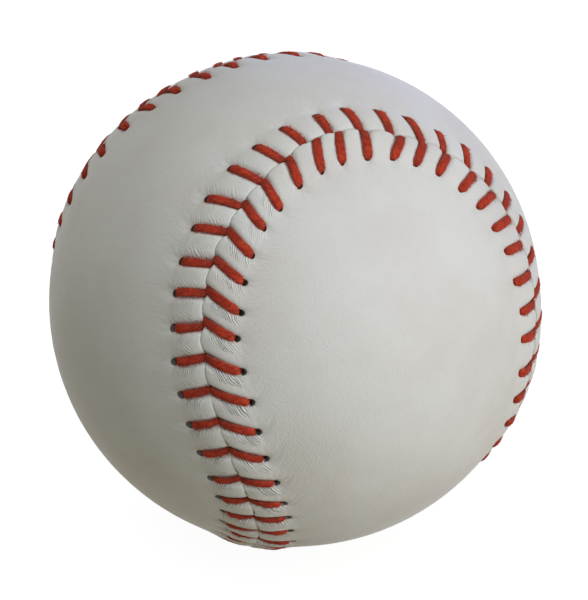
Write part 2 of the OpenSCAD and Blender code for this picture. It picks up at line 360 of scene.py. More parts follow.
# The leather's edge: its distance from the seam, how much more it parts where a thread passes, between which
# distances that ends, the notch that the thread has worn beside its pass, and how far it all reaches
EDGE_OFF = 0.02 * MM
EDGE_PARTED = 0.12 * MM
PARTED_ENDS = (0.35 * MM, 0.8 * MM)
NOTCH_DEPTH = 0.06 * MM
NOTCH_AT = 0.85 * MM
NOTCH_REACH = 0.3 * MM
EDGE_FADE = 3 * MM


def column_phase(column):
    """Place of a mesh column beside its stitch, from -0.5 to 0.5, with the columns drawn to the stitch."""
    even = (column % COLUMNS - (COLUMNS - 1) / 2) / COLUMNS
    return even - COLUMN_DRAW * np.sin(2 * math.pi * even) / (2 * math.pi)


def hole_reach(stitch, side):
    """Middle and half length of a stitch's needle hole across the seam."""
    low, high = of_panel(side, DRAWN_BETWEEN)
    drawn = smoothstep(twice_round(stitch + FIRST_STITCH, DRAWN_AT), low, high)
    half_l = HOLE_HALF_L_TIGHT + (HOLE_HALF_L_DRAWN - HOLE_HALF_L_TIGHT) * drawn
    return of_panel(side, HOLE_FROM) + half_l, half_l


def outside_height(side, stitch, phase, across):
    """The leather swells to a pillow between two stitches and lies pressed down under each."""
    fullness = of_panel(side, PILLOW_FULLNESS)
    pillow = np.where(phase < 0, fullness[(stitch - 1) % STITCHES], fullness[stitch])
    pillow = pillow * eased(across / MM, ACROSS_MM, PILLOW_MM) * MM
    pressed = eased(across / MM, ACROSS_MM, PRESSED_MM) * MM
    off_leg = np.abs(phase) * PITCH
    swell = smoothstep(off_leg, *TRACK_SIDE) * (1 - TOP_SHARE + TOP_SHARE * smoothstep(off_leg, *PILLOW_TOP))
    past_hole = across - hole_reach(stitch, side)[0]
    from_hole = np.hypot(phase * PITCH, past_hole)
    bearing = np.arctan2(phase * PITCH, past_hole)
    turn = of_panel(side, PUCKER_TURN)[stitch]
    puckers = np.sin(PUCKERS * bearing + turn) * np.exp(-(((from_hole - PUCKER_RING) / PUCKER_REACH) ** 2))
    dip = np.exp(-((from_hole / DIP_REACH) ** 2))
    return pressed + (pillow - pressed) * swell + PUCKER_H * puckers - DIP_DEPTH * dip


def inside_height(across):
    """Under its edge the leather leaves a channel for the threads."""
    return np.interp(across / MM, INSIDE_AT_MM, INSIDE_MM) * MM


def edge_opening(u, phase, side):
    """Distance of the leather's edge from the seam. It parts where the threads pass, and a little past."""
    off_pass = (phase + strand_shift(u, side)) * PITCH
    parted = 1 - smoothstep(np.abs(off_pass), *PARTED_ENDS)
    notch = np.exp(-(((off_pass - NOTCH_AT) / NOTCH_REACH) ** 2))
    return EDGE_OFF + EDGE_PARTED * parted + NOTCH_DEPTH * notch


def drawn_to_hole(phase, across, hole_centre, hole_half_l):
    """Moves the mesh round a needle hole, so that the rim of the faces it takes out is an ellipse."""
    low, high = BAND_MM[HOLE_ROWS[0]] * MM, BAND_MM[HOLE_ROWS[1]] * MM
    half_l = (high - low) / 2
    half_w = column_phase(np.array(HOLE_COLUMNS[1])) * PITCH
    x = phase * PITCH / half_w
    y = (across - (high + low) / 2) / half_l
    box = np.maximum(np.abs(x), np.abs(y))
    turn = np.arctan2(y, x)
    share = 1 - smoothstep(box, 1, HOLE_SPREAD)
    new_x = share * np.cos(turn) * box * HOLE_HALF_W + (1 - share) * phase * PITCH
    new_y = share * (np.sin(turn) * box * hole_half_l + hole_centre) + (1 - share) * across
    return new_x / PITCH, new_y


def panel_rows(side, inside, shares, field_height):
    """Rows of points round a panel's face, from its edge to near its middle line, and each point's map."""
    column = np.arange(STITCHES * COLUMNS)
    stitch = column // COLUMNS
    stray = of_panel(side, HOLE_STRAY)[stitch]
    centre, half_l = hole_reach(stitch, side)
    if inside:
        centre = of_panel(side, HOLE_CENTRE_BELOW)
    rows, places = [], []
    for row in BAND_MM:
        away = np.full(len(column), row * MM)
        phase, across = drawn_to_hole(column_phase(column), away, centre, half_l)
        u = FIRST_STITCH + stitch + phase
        near_hole = np.exp(-(((across - centre) / STRAY_REACH) ** 2))
        near_hole = near_hole * (1 - smoothstep(np.abs(phase), *STRAY_FADE))
        opening = edge_opening(u, phase, side) * (1 - smoothstep(across, 0, EDGE_FADE))
        place = across + opening + stray[:, 1] * near_hole + leg_stretch(u, side, across)
        along = u + leg_shift(u, side, across) + stray[:, 0] * near_hole / PITCH
        height = inside_height(across) if inside else outside_height(side, stitch, phase, across)
        rows.append(on_cover(along, side * place, height))
        places.append(np.stack([u, across / MM], -1))
    rim = unit(rows[-1])
    middle = middle_direction(column / COLUMNS, side)
    for share in shares:
        rows.append(unit(rim * (1 - share) + middle * share) * (COVER_R + field_height))
        away = np.full(len(column), FIELD_MAP[0] + (FIELD_MAP[1] - FIELD_MAP[0]) * share)
        places.append(np.stack([FIRST_STITCH + column / COLUMNS, away], -1))
    return rows, places


def middle_points(side, height):
    """Points along a panel's middle line, from the neck out to one lobe and then to the other."""
    lobe = STITCHES * COLUMNS // 4
    neck = 0 if side > 0 else lobe
    column = neck + np.concatenate([np.arange(lobe + 1), 2 * lobe + np.arange(1, lobe + 1)])
    points = middle_direction(column / COLUMNS, side) * (COVER_R + height)
    return points, np.stack([column / COLUMNS, np.full(len(column), FIELD_MAP[1])], -1)


def middle_number(column, side):
    """Which of those points lies level with a mesh column."""
    lobe = STITCHES * COLUMNS // 4
    from_neck = (column - (0 if side > 0 else lobe)) % (4 * lobe)
    second = from_neck > 2 * lobe
    number = lobe - np.abs(from_neck - np.where(second, 3, 1) * lobe)
    return np.where(number == 0, 0, number + np.where(second, lobe, 0))


def side_faces(side, start, rows):
    """Faces of one side of a panel, with its needle holes left open."""
    around = STITCHES * COLUMNS
    column = np.arange(around)
    ahead = (column + 1) % around
    faces = []
    for row in range(rows - 1):
        kept = column
        if HOLE_ROWS[0] <= row < HOLE_ROWS[1]:
            kept = column[(column % COLUMNS < HOLE_COLUMNS[0]) | (column % COLUMNS >= HOLE_COLUMNS[1])]
        a = start + row * around + kept
        b = start + row * around + ahead[kept]
        faces.append(np.stack([a, b, b + around, a + around], -1))
    last = start + (rows - 1) * around
    spine = start + rows * around
    here, there = middle_number(column, side), middle_number(ahead, side)
    faces.append(np.stack([last + column, last + ahead, spine + there, spine + here], -1))
    return faces


def hole_rim(start):
    """Point numbers round each needle hole of one side of a panel."""
    around = STITCHES * COLUMNS
    (row_a, row_b), (column_a, column_b) = HOLE_ROWS, HOLE_COLUMNS
    ring = [(row_a, c) for c in range(column_a, column_b)]
    ring += [(r, column_b) for r in range(row_a, row_b)]
    ring += [(row_b, c) for c in range(column_b, column_a, -1)]
    ring += [(r, column_a) for r in range(row_b, row_a, -1)]
    ring = np.array([row * around + column for row, column in ring])
    return start + ring[None, :] + COLUMNS * np.arange(STITCHES)[:, None]


def corner_map(faces, places, axis, lap):
    """Map of each face's corners. A face across the end of a lap runs on into the next one."""
    corners = places[faces.reshape(-1)].reshape(len(faces), -1, 2)
    run = corners[..., axis]
    wraps = np.ptp(run, axis=1) > lap / 2
    run += lap * (wraps[:, None] & (run < lap / 2))
    return corners


def add_object(name, data):
    thing = bpy.data.objects.new(name, data)
    bpy.context.scene.collection.objects.link(thing)
    return thing


def mesh_piece(name, points, faces, maps, finish, sharp_angle=None):
    """Closed mesh from points and four-cornered faces, with its maps, as a piece that rides on the root."""
    mesh = bpy.data.meshes.new(name)
    mesh.from_pydata(points.tolist(), [], faces.tolist())
    for map_name, corners in maps.items():
        mesh.uv_layers.new(name=map_name).data.foreach_set("uv", corners.reshape(-1).astype(np.float32))
    mesh.shade_smooth()
    mesh.materials.append(finish)
    mesh.validate()
    if sharp_angle:
        mesh.set_sharp_from_angle(angle=sharp_angle)
    piece = add_object(name, mesh)
    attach(piece, "root")
    return piece


def leather_panel(name, node, side, finish):
    """One panel: its outer and inner face, its edge and its needle holes' walls."""
    below = INSIDE_MM[-1] * MM
    outer, outer_places = panel_rows(side, False, OUTER_SHARES, 0)
    inner, inner_places = panel_rows(side, True, INNER_SHARES, below)
    outer_middle, outer_middle_places = middle_points(side, 0)
    inner_middle, inner_middle_places = middle_points(side, below)
    points = np.concatenate(outer + [outer_middle] + inner + [inner_middle])
    places = np.concatenate(outer_places + [outer_middle_places] + inner_places + [inner_middle_places])
    around = STITCHES * COLUMNS
    inner_start = len(outer) * around + len(outer_middle)
    column = np.arange(around)
    ahead = (column + 1) % around
    edge = np.stack([column, ahead, inner_start + ahead, inner_start + column], -1)
    rim = hole_rim(0)
    inner_rim = hole_rim(inner_start)
    walls = np.stack([rim, np.roll(rim, -1, axis=1), np.roll(inner_rim, -1, axis=1), inner_rim], -1)
    walls = walls.reshape(-1, 4)
    outer_faces = side_faces(side, 0, len(outer))
    inner_faces = [f[:, ::-1] for f in side_faces(side, inner_start, len(inner))]
    faces = np.concatenate(outer_faces + inner_faces + [edge[:, ::-1], walls])
    if side < 0:
        faces = faces[:, ::-1]
    maps = {"stitch_map": corner_map(faces, places, 0, STITCHES)}
    piece = mesh_piece(name, points, faces, maps, finish, EDGE_ANGLE)
    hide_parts(node)


# Thread

THREAD_W = 1.26 * MM
THREAD_H = 0.62 * MM

# A thread is rounder the nearer this is to 1, and flat-sided near 0. Its plies' number, the length in which
# they turn once round it and their relief, as a share of its size.
ROUNDNESS = 0.8
PLIES = 4
THREAD_TURN = 7.5 * MM
PLY_RELIEF = 0.02

# Its lumps, as a share of its size, and the share of a lump that the points beside it have
LUMPS = 0.03
LUMPS_SHARED = 0.7

# The stitch where the thread was pulled thinnest, its reach, and the share of its size that it lost there
THINNEST_NEAR = (28, 5)
THINNER = 0.2

# Points round the thread, and steps from one station of its course to the next
THREAD_SIDES = 18
STEPS_BETWEEN = 3

# A leg's course from its needle hole to the seam: distance from it, height of its middle, and size share
LEG_MM = (
    [(4.43, -1.0, 0.76), (4.43, -0.5, 0.86), (4.37, -0.12, 0.94), (4.18, 0.14, 0.98), (3.7, 0.29, 0.99),
     (3.1, 0.34, 0.99), (2.4, 0.34, 0.98), (1.7, 0.29, 0.97), (1.1, 0.2, 0.94), (0.6, 0.08, 0.91),
     (0.22, -0.14, 0.86), (0, -0.6, 0.76)],
    [(4.82, -1.0, 0.76), (4.82, -0.5, 0.88), (4.76, -0.12, 1), (4.54, 0.15, 1.06), (3.95, 0.31, 1.09),
     (3.2, 0.37, 1.08), (2.4, 0.38, 1.06), (1.7, 0.35, 1.03), (1, 0.28, 1), (0.45, 0.16, 0.96),
     (0, -0.06, 0.88), (-0.16, -0.6, 0.74)],
)

# Its course on under the other panel to the next hole there, and its size share
UNDER_MM = [(-0.1, -0.99), (-1.4, -0.99), (-3, -0.99), (-4.1, -1.0)]
UNDER_SHARE = 0.72

# How a leg's middle strays up or down, and along the seam
LIFT_STRAY_MM = 0.025
SWING_STRAY_MM = 0.05


def smooth_path(stations, between):
    """Points and widths along a smooth curve through stations, with some more between each two."""
    p = np.asarray(stations, float)
    before, after = p[:1] * 2 - p[1:2], p[-1:] * 2 - p[-2:-1]
    q = np.concatenate([before, p, after])
    s = (np.arange(between) / between)[None, :, None]
    p0, p1, p2, p3 = q[:-3, None], q[1:-2, None], q[2:-1, None], q[3:, None]
    curve = p1 + 0.5 * s * (p2 - p0 + s * (2 * p0 - 5 * p1 + 4 * p2 - p3 + s * (3 * (p1 - p2) + p3 - p0)))
    return np.concatenate([curve.reshape(-1, p.shape[1]), p[-1:]])


def leg_of(stitch, strand):
    """The panel on which a strand's leg lies at a stitch, and the leg's course."""
    side = 1 if (stitch + strand) % 2 == 0 else -1
    return side, of_panel(side, LEG_MM)


def strand_stations(strand):
    """Course of one strand: over a leg, down in the seam, and under the other panel to its next hole."""
    stations = []
    for stitch in range(STITCHES):
        side, leg = leg_of(stitch, strand)
        stray = of_panel(side, HOLE_STRAY)[stitch]
        u = FIRST_STITCH + stitch
        lift = hand.normal(0, LIFT_STRAY_MM)
        swing = hand.normal(0, SWING_STRAY_MM)
        for away, height, width in leg:
            share = np.clip(away * MM / NEEDLE_LINE, 0, 1)
            arch = math.sin(math.pi * share)
            bow = (swing * arch + STRAND_STRAY[stitch] * (1 - share)) * MM
            along = u + leg_shift(u, side, np.array(away * MM)) + (stray[0] * share + bow) / PITCH
            place = away * MM + stray[1] * share + leg_stretch(u, side, away * MM)
            stations.append((along, side * place, (height + lift * arch) * MM, width))
        hole = u + 1 + hole_shift(u + 1, -side)
        stretch = 1 + leg_stretch(u + 1, -side, NEEDLE_LINE) / NEEDLE_LINE
        seam_end = stations[-1][0]
        for away, height in UNDER_MM:
            share = -away * MM / NEEDLE_LINE
            along = seam_end + (hole - seam_end) * share
            stations.append((along, side * away * stretch * MM, height * MM, UNDER_SHARE))
    # The end stays clear of the strand's start
    return stations[:-2]


def tube_faces(rings, sides):
    """Faces of a tube of rings of points."""
    ring = np.arange(rings - 1)[:, None] * sides
    a = ring + np.arange(sides)[None, :]
    b = ring + (np.arange(sides) + 1)[None, :] % sides
    return np.stack([a, a + sides, b + sides, b], -1).reshape(-1, 4)


def thread_strand(name, node, strand, finish):
    """One needle's thread, laced round the whole seam."""
    course = smooth_path(strand_stations(strand), STEPS_BETWEEN)
    centres = on_cover(course[:, 0], course[:, 1], course[:, 2])
    along = unit(np.gradient(centres, axis=0))
    heading = seam_heading(course[:, 0])
    wide = unit(heading - along * np.sum(heading * along, axis=1, keepdims=True))
    high = np.cross(along, wide)
    run = np.concatenate([[0], np.cumsum(np.linalg.norm(np.diff(centres, axis=0), axis=1))])
    turn = 2 * math.pi * np.arange(THREAD_SIDES) / THREAD_SIDES
    twist = turn[None, :] + 2 * math.pi * (run / THREAD_TURN)[:, None]
    lumps = hand.normal(0, LUMPS, (len(centres), THREAD_SIDES))
    lumps = lumps + LUMPS_SHARED * (np.roll(lumps, 1, 0) + np.roll(lumps, 1, 1))
    drawn_thin = 1 - THINNER * near_stitch(course[:, 0], *THINNEST_NEAR)
    swell = (course[:, 3] * drawn_thin)[:, None] * (1 + PLY_RELIEF * np.cos(PLIES * twist) + lumps)
    across_w = np.sign(np.cos(turn)) * np.abs(np.cos(turn)) ** ROUNDNESS
    across_h = np.sign(np.sin(turn)) * np.abs(np.sin(turn)) ** ROUNDNESS
    points = centres[:, None] + wide[:, None] * (across_w * THREAD_W / 2 * swell)[..., None]
    points = (points + high[:, None] * (across_h * THREAD_H / 2 * swell)[..., None]).reshape(-1, 3)
    caps = []
    for start in (0, (len(centres) - 1) * THREAD_SIDES):
        last = start + THREAD_SIDES - 1
        caps += [[start + j, start + j + 1, last - 1 - j, last - j] for j in range(THREAD_SIDES // 2 - 1)]
    faces = np.concatenate([tube_faces(len(centres), THREAD_SIDES), np.array(caps)])
    places = np.stack([np.repeat(run / MM, THREAD_SIDES), np.tile(turn / (2 * math.pi), len(centres))], -1)
    legs = np.repeat(course[:, 1:3] / MM, THREAD_SIDES, axis=0)
    piece = thread_piece(name, points, faces, places, legs, finish)
    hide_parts(node)


def thread_piece(name, points, faces, places, legs, finish):
    """Piece with two maps: run along and turn round the thread, and distance from the seam and height."""
    maps = {"thread_map": corner_map(faces, places, 1, 1), "leg_map": legs[faces.reshape(-1)]}
    piece = mesh_piece(name, points, faces, maps, finish)
    return piece


# Loose fibres: their number on a leg, thickness, range of length, steps along and points round
FUZZ_PER_LEG = 90
FUZZ_R = 0.03 * MM
FUZZ_LENGTH = (0.16, 0.5)
FUZZ_STEPS = 3
FUZZ_SIDES = 3

# Where they grow: distance from the seam, share of the leg's half width, and height over its middle
FUZZ_AWAY_MM = (0.3, 4.6)
FUZZ_OFF = (0.6, 0.98)
FUZZ_LIFT_MM = (-0.1, 0.28)

# How far they lean, how they rise off the leather evenly and by their lean, how far they curl by their
# length, and how they thin out
FUZZ_LEAN = 0.75
FUZZ_RISE = 0.1
FUZZ_RISE_BY_LEAN = 0.45
FUZZ_CURL = 0.35
FUZZ_TAPER = 0.6


def thread_fuzz(name, strand, finish):
    """Loose fibres that stand off the legs of one strand."""
    roots, ways, legs = [], [], []
    for stitch in range(STITCHES):
        side, leg = leg_of(stitch, strand)
        u = FIRST_STITCH + stitch
        away = hand.uniform(*FUZZ_AWAY_MM, FUZZ_PER_LEG)
        flank = hand.choice([-1, 1], FUZZ_PER_LEG)
        table = np.array(leg[::-1])
        height = np.interp(away, table[:, 0], table[:, 1])
        off = flank * THREAD_W / 2 * hand.uniform(*FUZZ_OFF, FUZZ_PER_LEG)
        lift = height * MM + hand.uniform(*FUZZ_LIFT_MM, FUZZ_PER_LEG) * MM
        along = u + leg_shift(u, side, away * MM) + off / PITCH
        root = on_cover(along, side * (away * MM + leg_stretch(u, side, away * MM)), lift)
        out = unit(root)
        heading = seam_heading(along)
        aside = np.cross(out, heading)
        lean = hand.normal(0, FUZZ_LEAN, (FUZZ_PER_LEG, 2))
        rise = FUZZ_RISE + FUZZ_RISE_BY_LEAN * lean[:, 1:]
        way = heading * flank[:, None] + aside * lean[:, :1] + out * rise
        roots.append(root)
        ways.append(unit(way))
        legs.append(np.stack([side * away, lift / MM], -1))
    roots, ways = np.concatenate(roots), np.concatenate(ways)
    fibre_points = FUZZ_STEPS * FUZZ_SIDES
    legs = np.repeat(np.concatenate(legs), fibre_points, axis=0)
    count = len(roots)
    length = hand.uniform(*FUZZ_LENGTH, count) * MM
    curl = unit(hand.normal(0, 1, (count, 3)))
    s = np.linspace(0, 1, FUZZ_STEPS)[None, :, None]
    spine = roots[:, None] + ways[:, None] * s * length[:, None, None]
    spine = spine + curl[:, None] * (s**2) * FUZZ_CURL * length[:, None, None]
    first = unit(np.cross(ways, curl))[:, None, None]
    second = np.cross(ways[:, None, None], first)
    turn = (2 * math.pi * np.arange(FUZZ_SIDES) / FUZZ_SIDES)[None, None, :, None]
    radius = FUZZ_R * (1 - FUZZ_TAPER * s)
    ring = first * np.cos(turn) + second * np.sin(turn)
    points = (spine[:, :, None] + ring * radius[..., None]).reshape(-1, 3)
    fibre = np.roll(tube_faces(FUZZ_STEPS, FUZZ_SIDES)[:, ::-1], 1, axis=1)
    faces = (fibre[None] + (np.arange(count) * fibre_points)[:, None, None]).reshape(-1, 4)
    # All the fibres have one place on the thread's map, so they are plain and of one tone
    places = np.tile([hand.uniform(0, 9), 0.0], (len(points), 1))
    thread_piece(name, points, faces, places, legs, finish)


# Finishes


class Signal:
    """A shader value that can be used in sums, products and quotients."""

    def __init__(self, finish, socket):
        self.finish = finish
        self.socket = socket

    def __add__(self, other):
        return self.finish.sum("ADD", self, other)

    def __sub__(self, other):
        return self.finish.sum("SUBTRACT", self, other)

    def __rsub__(self, other):
        return self.finish.sum("SUBTRACT", other, self)

    def __mul__(self, other):
        return self.finish.sum("MULTIPLY", self, other)

    def __truediv__(self, other):
        return self.finish.sum("DIVIDE", self, other)

    __radd__, __rmul__ = __add__, __mul__


class Finish:
    """A material whose surface is one Principled shader, with helpers that add the nodes behind it."""

    def __init__(self, name, **constants):
        self.material = bpy.data.materials.new(name)
        self.material.use_nodes = True
        self.tree = self.material.node_tree
        self.tree.nodes.clear()
        self.surface = self.tree.nodes.new("ShaderNodeBsdfPrincipled")
        output = self.tree.nodes.new("ShaderNodeOutputMaterial")
        self.tree.links.new(self.surface.outputs["BSDF"], output.inputs["Surface"])
        for socket, value in constants.items():
            self.surface.inputs[socket.replace("_", " ")].default_value = value

    def feed(self, socket, value):
        if isinstance(value, Signal):
            self.tree.links.new(value.socket, socket)
        else:
            socket.default_value = value

    def node(self, kind, settings=None, values=None, output=0):
        """Adds a node, sets its settings and then its sockets, and gives one of its outputs."""
        node = self.tree.nodes.new(kind)
        for key, value in (settings or {}).items():
            setattr(node, key, value)
        for key, value in (values or {}).items():
            self.feed(node.inputs[key], value)
        return Signal(self, node.outputs[output])

    def sum(self, operation, first, second=0.0):
        return self.node("ShaderNodeMath", {"operation": operation}, {0: first, 1: second})

    def fold(self, kind, value):
        """The size of a SINE or COSINE wave, without its sign."""
        return self.sum("ABSOLUTE", self.sum(kind, value))

    def stack(self, x, y, z):
        return self.node("ShaderNodeCombineXYZ", {}, {0: x, 1: y, 2: z})

    def split(self, vector):
        node = self.tree.nodes.new("ShaderNodeSeparateXYZ")
        self.feed(node.inputs[0], vector)
        return [Signal(self, out) for out in node.outputs]

    def ease(self, value, low, high):
        """0 below low, 1 above high, and a smooth step between them."""
        return self.node(
            "ShaderNodeMapRange", {"interpolation_type": "SMOOTHSTEP"}, {0: value, 1: low, 2: high}
        )

    def noise(self, vector, scale, detail=2.0, rough=0.5, distort=0.0):
        return self.node(
            "ShaderNodeTexNoise", {},
            {"Vector": vector, "Scale": scale, "Detail": detail, "Roughness": rough, "Distortion": distort},
        )

    def cells(self, vector, scale, feature="F1"):
        return self.node("ShaderNodeTexVoronoi", {"feature": feature}, {"Vector": vector, "Scale": scale})

    def mix(self, share, first, second):
        """Colour between two colours."""
        return self.node("ShaderNodeMix", {"data_type": "RGBA"}, {0: share, 6: first, 7: second}, 2)

    def place(self):
        return self.node("ShaderNodeTexCoord", {}, {}, "Object")

    def map(self, name):
        return self.node("ShaderNodeUVMap", {"uv_map": name})

    def ray(self, kind):
        """1 where the surface is seen by that kind of ray."""
        return self.node("ShaderNodeLightPath", {}, {}, kind)

    def bumps(self, *layers):
        """Feeds the Normal with layers of (height, distance, strength), one on the other."""
        normal = None
        for height, distance, strength in layers:
            values = {"Height": height, "Distance": distance, "Strength": strength}
            if normal is not None:
                values["Normal"] = normal
            normal = self.node("ShaderNodeBump", {}, values)
        self.feed(self.surface.inputs["Normal"], normal)

    def colour(self, value):
        self.feed(self.surface.inputs["Base Color"], value)

    def roughness(self, value):
        self.feed(self.surface.inputs["Roughness"], value)


def rgb(red, green, blue):
    """Linear colour of an sRGB one given from 0 to 255."""
    parts = []
    for value in (red, green, blue):
        c = value / 255
        parts.append(c / 12.92 if c <= 0.04045 else ((c + 0.055) / 1.055) ** 2.4)
    return (*parts, 1.0)


# Leather: its two even tones, a painted highlight on the folds' crests, a dark tone for painted shade in the
# creases and at the seam's edge and for the pores, and the holes' cut walls darkened by painted shade
LEATHER_WHITE = rgb(218, 219, 213)
LEATHER_CREAM = rgb(212, 210, 203)
FOLD_HIGHLIGHT = rgb(233, 234, 228)
LEATHER_SHADE_AND_PORES = rgb(104, 99, 89)
CUT_EDGE_AND_SHADE = rgb(100, 93, 86)

# Thread: its top, its flanks, its darker patches and painted shade between its fibres, painted shade where
# it goes down into the seam or a hole, and its worn fibres
THREAD_RED = rgb(182, 50, 28)
THREAD_FLANK = rgb(168, 80, 54)
THREAD_DEEP = rgb(104, 20, 12)
THREAD_SEAM_SHADE = rgb(112, 34, 24)
THREAD_PALE = rgb(196, 102, 68)

# The folds' distance from each other, the stitch where the leather is most creased, and how strongly each
# panel's is
FOLD_MM = 0.45
CREASED_AT = 31
CREASE_STRENGTH = (0.8, 1.5)


def leather_finish(name, side):
    """Smooth white leather: fine pores, faint clouding, and creases that the stitches draw in it."""
    sheen = {"Sheen_Weight": 0.08, "Sheen_Roughness": 0.4}
    f = Finish(name, Roughness=0.5, IOR=1.45, Specular_IOR_Level=0.35, **sheen)
    place = f.place()
    stitches, away, _ = f.split(f.map("stitch_map"))

    clouds = f.noise(place, 70, 4, 0.55)
    grain = f.cells(place, 3800)
    fine = f.noise(place, 9000, 3, 0.6)
    weave = f.noise(place, 2300, 3, 0.6, 0.4)

    # The nearest stitch's number, and the place beside its leg in millimetres along the seam
    whole = f.sum("FLOOR", stitches - FIRST_STITCH + 0.5)
    off = (stitches - FIRST_STITCH - whole) * (PITCH / MM)
    beside = f.sum("ABSOLUTE", off)

    # The creases cross the pillows towards the holes. On the upper panel they fan out from both flanks of a
    # leg, on the lower one from its flank towards the stitch before
    if side > 0:
        level = away - 0.6 * beside
        near = f.ease(beside, 0.4, 0.75) * (1 - f.ease(beside, 1.2, 2.6))
    else:
        level = away + 0.75 * off
        below = 0 - off
        near = f.ease(below, 0.4, 0.65) * (1 - f.ease(below, 1.5, 3.1))
    bend = f.noise(f.stack(off * 0.4, away * 0.6, whole * 1.7), 1.0, 1)
    wave = f.fold("SINE", (level * (1 / FOLD_MM) + bend * 2.8 + whole * 0.37) * math.pi)
    band = f.ease(away, 0.4, 1.9) * (1 - f.ease(away, 4.7, 6.0))
    patchy = f.ease(f.noise(f.stack(level * 0.9, off * 0.25, whole * 5.3), 1.0, 1), 0.42, 0.6)
    round_ball = 0.5 + 0.5 * f.sum("COSINE", (stitches - CREASED_AT) * STITCH_TURN)
    creased = band * near * (0.4 + 0.6 * patchy) * round_ball * round_ball * of_panel(side, CREASE_STRENGTH)
    depth = f.ease(f.noise(f.stack(level * 1.3, off * 0.4, whole * 3.1), 1.0, 2, 0.6), 0.3, 0.7)
    groove = (1 - f.ease(wave, 0.0, 0.7)) * creased * (0.3 + 0.7 * depth)
    fold = f.ease(wave, 0.1, 0.95) * creased

    # Faint lines that the thread's pull draws in the leather beyond the holes
    drawn = f.noise(f.stack(away * 0.55, off * 2.6 + bend * 1.2, whole * 2.9), 1.0, 2, 0.5)
    drawn = f.ease(drawn, 0.4, 0.62) * f.ease(away, 5.6, 6.6) * (1 - f.ease(away, 7.5, 11.0))

    tone = f.mix(f.ease(clouds, 0.35, 0.7), LEATHER_WHITE, LEATHER_CREAM)
    # Painted highlight on the folds' crests
    tone = f.mix(fold * 0.6, tone, FOLD_HIGHLIGHT)
    # Painted shade in the creases' grooves
    tone = f.mix(groove * 0.6, tone, LEATHER_SHADE_AND_PORES)
    # Faint painted shade in the lines drawn beyond the holes
    tone = f.mix(drawn * 0.03, tone, LEATHER_SHADE_AND_PORES)

    # The thread's loose red fibres have stained the leather along its flanks
    stain = (1 - f.ease(beside, 0.5, 1.15)) * (1 - f.ease(away, 4.9, 5.6)) * f.ease(fine, 0.35, 0.6)
    tone = f.mix(stain * 0.36, tone, THREAD_PALE)
    pores = f.ease(grain, 0.32, 0.1) * 0.1
    # The pores take the same dark tone, as grain
    tone = f.mix(pores, tone, LEATHER_SHADE_AND_PORES)
    # Painted shade darkens the leather right at its edge by the seam
    seam_edge_shade = (1 - f.ease(away, 0.0, 0.12)) * 0.15
    tone = f.mix(seam_edge_shade, tone, LEATHER_SHADE_AND_PORES)

    # The needle holes' walls, by the same ellipse as the mesh has there, in the cut edge's tone darkened by
    # painted shade
    low, high = of_panel(side, DRAWN_BETWEEN)
    round_seam = f.sum("COSINE", (whole + (FIRST_STITCH - DRAWN_AT)) * STITCH_TURN)
    longer = (HOLE_HALF_L_DRAWN - HOLE_HALF_L_TIGHT) * f.ease(round_seam, low, high)
    half_l = (HOLE_HALF_L_TIGHT + longer) / MM
    across_hole = (away - of_panel(side, HOLE_FROM) / MM - half_l) / half_l
    along_hole = off / (HOLE_HALF_W / MM)
    from_hole = f.sum("SQRT", across_hole * across_hole + along_hole * along_hole)
    in_hole = 1 - f.ease(from_hole, 0.97, 1.04)
    tone = f.mix(in_hole, tone, CUT_EDGE_AND_SHADE)
    f.colour(tone)
    f.roughness(0.5 + 0.1 * clouds + 0.1 * groove)
    f.bumps(
        (fold, 0.16 * MM, 1.0),
        (drawn, 0.02 * MM, 0.6),
        (weave, 0.08 * MM, 0.45),
        (grain, 0.05 * MM, 0.5),
        (fine, 0.03 * MM, 0.4),
    )
    return f.material


def thread_finish(name):
    """Red waxed cotton: plies that turn round the thread, made of finer fibres."""
    sheen = {"Sheen_Weight": 0.12, "Sheen_Roughness": 0.5, "Sheen_Tint": THREAD_PALE}
    f = Finish(name, Roughness=0.8, Specular_IOR_Level=0.22, **sheen)
    place = f.place()
    run, turn, _ = f.split(f.map("thread_map"))
    twist = turn + run / (THREAD_TURN / MM)
    flank = f.ease(f.fold("COSINE", turn * (2 * math.pi)), 0.7, 1.0)
    fibres = f.noise(f.stack(twist * 16, run * 1.1, 0.0), 1.0, 3, 0.65)
    fine = f.noise(f.stack(twist * 40, run * 3, 5.0), 1.0, 2, 0.6)
    patches = f.noise(place, 700, 2, 0.5)
    across, height, _ = f.split(f.map("leg_map"))
    in_seam = 1 - f.ease(f.sum("ABSOLUTE", across), 0.2, 3.2)
    sunk = 1 - f.ease(height, -0.5, 0.25)
    tone = f.mix(f.ease(patches, 0.38, 0.62) * 0.45, THREAD_RED, THREAD_DEEP)
    tone = f.mix(flank * 0.55, tone, THREAD_FLANK)
    # Painted shade where the thread goes down into the seam or sinks into a hole
    tone = f.mix(f.sum("MAXIMUM", in_seam * 0.5, sunk * 0.6), tone, THREAD_SEAM_SHADE)
    tone = f.mix(f.ease(fibres, 0.5, 0.66) * (0.35 + 0.45 * flank), tone, THREAD_PALE)
    # Painted shade in the gaps between the fibres
    tone = f.mix(f.ease(fibres, 0.48, 0.34) * 0.75, tone, THREAD_DEEP)
    tone = f.mix(f.ease(fine, 0.5, 0.7) * 0.3, tone, THREAD_PALE)
    f.colour(tone)
    f.bumps((fibres, 0.12 * MM, 1.0), (fine, 0.05 * MM, 0.8), (patches, 0.1 * MM, 0.6))
    return f.material


